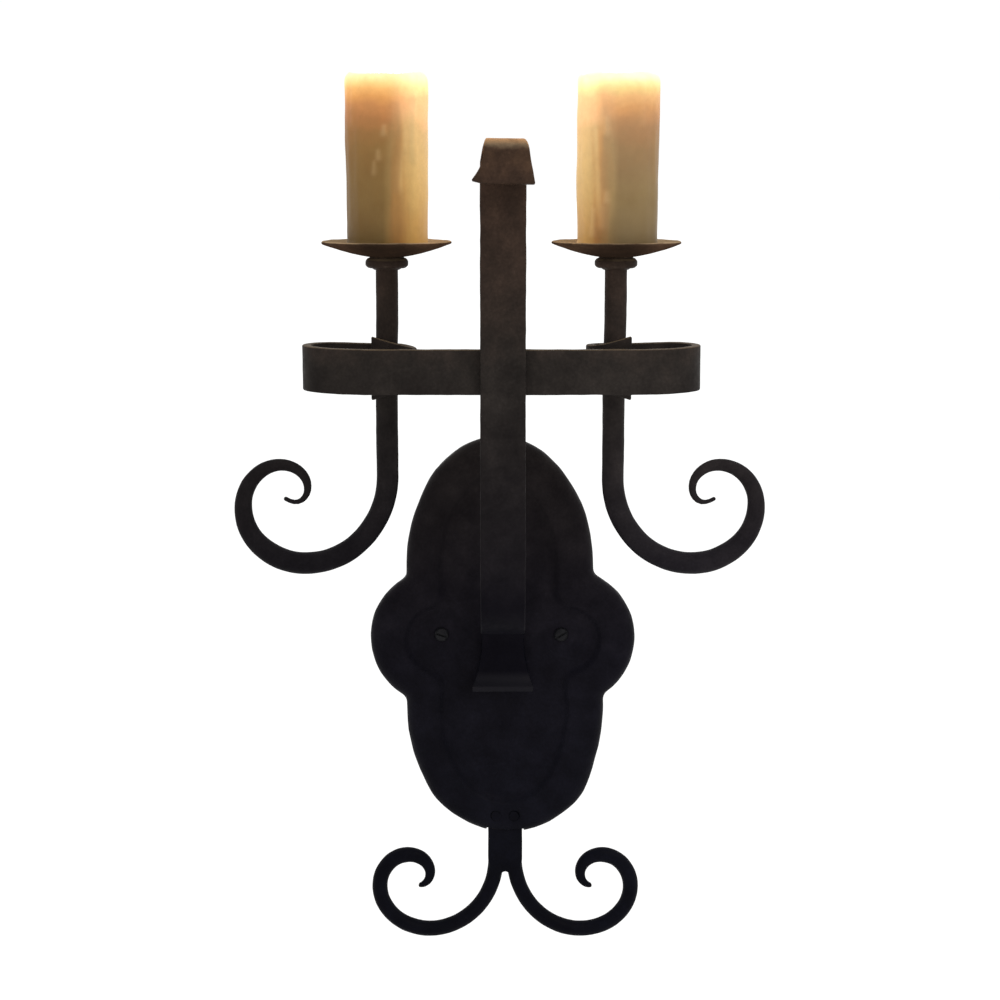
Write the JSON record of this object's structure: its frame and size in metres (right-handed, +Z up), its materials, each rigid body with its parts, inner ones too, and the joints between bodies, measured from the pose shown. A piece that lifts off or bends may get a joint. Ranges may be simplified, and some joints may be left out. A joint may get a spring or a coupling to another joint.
{
  "type": "wall sconce candle holder",
  "caption": "Forged iron wall sconce: dished quatrefoil back plate, upright bar, looped cross band and scrolled arms carrying pillar candles on drip pans.",
  "frame": {"origin": "on the wall, midway between the two wall screws", "axes": "+Y into the wall, so the front faces -Y; +Z up; +X to the right as seen from the front"},
  "size_m": [0.3082, 0.1349, 0.528],
  "materials": {
    "iron": "hand-forged, black-brown wax over scale, satin",
    "screw_steel": "blackened",
    "wax": "honey-coloured beeswax, soft sheen, lit from its melt bowl",
    "wick": "charred braided cotton"
  },
  "bodies": {
    "frame": {"backplate": "iron", "upright_bar": "iron", "cross_band": "iron", "left_arm": "iron", "right_arm": "iron", "tail_scroll": "iron", "left_drip_pan": "iron", "right_drip_pan": "iron", "left_collar": "iron", "right_collar": "iron", "left_washer": "iron", "right_washer": "iron", "left_pricket": "iron", "right_pricket": "iron", "crossing_rivet": "iron", "foot_rivets": "iron", "tail_rivets": "iron", "wall_screws": "screw_steel"},
    "left_candle": {"left_candle": "wax", "left_wick": "wick"},
    "right_candle": {"right_candle": "wax", "right_wick": "wick"}
  },
  "joints": [
    {"name": "left_candle_lift", "type": "slide", "parent": "frame", "child": "left_candle", "axis": [0, 0, 1], "range_m": [0, 0.06]},
    {"name": "right_candle_lift", "type": "slide", "parent": "frame", "child": "right_candle", "axis": [0, 0, 1], "range_m": [0, 0.06]}
  ]
}
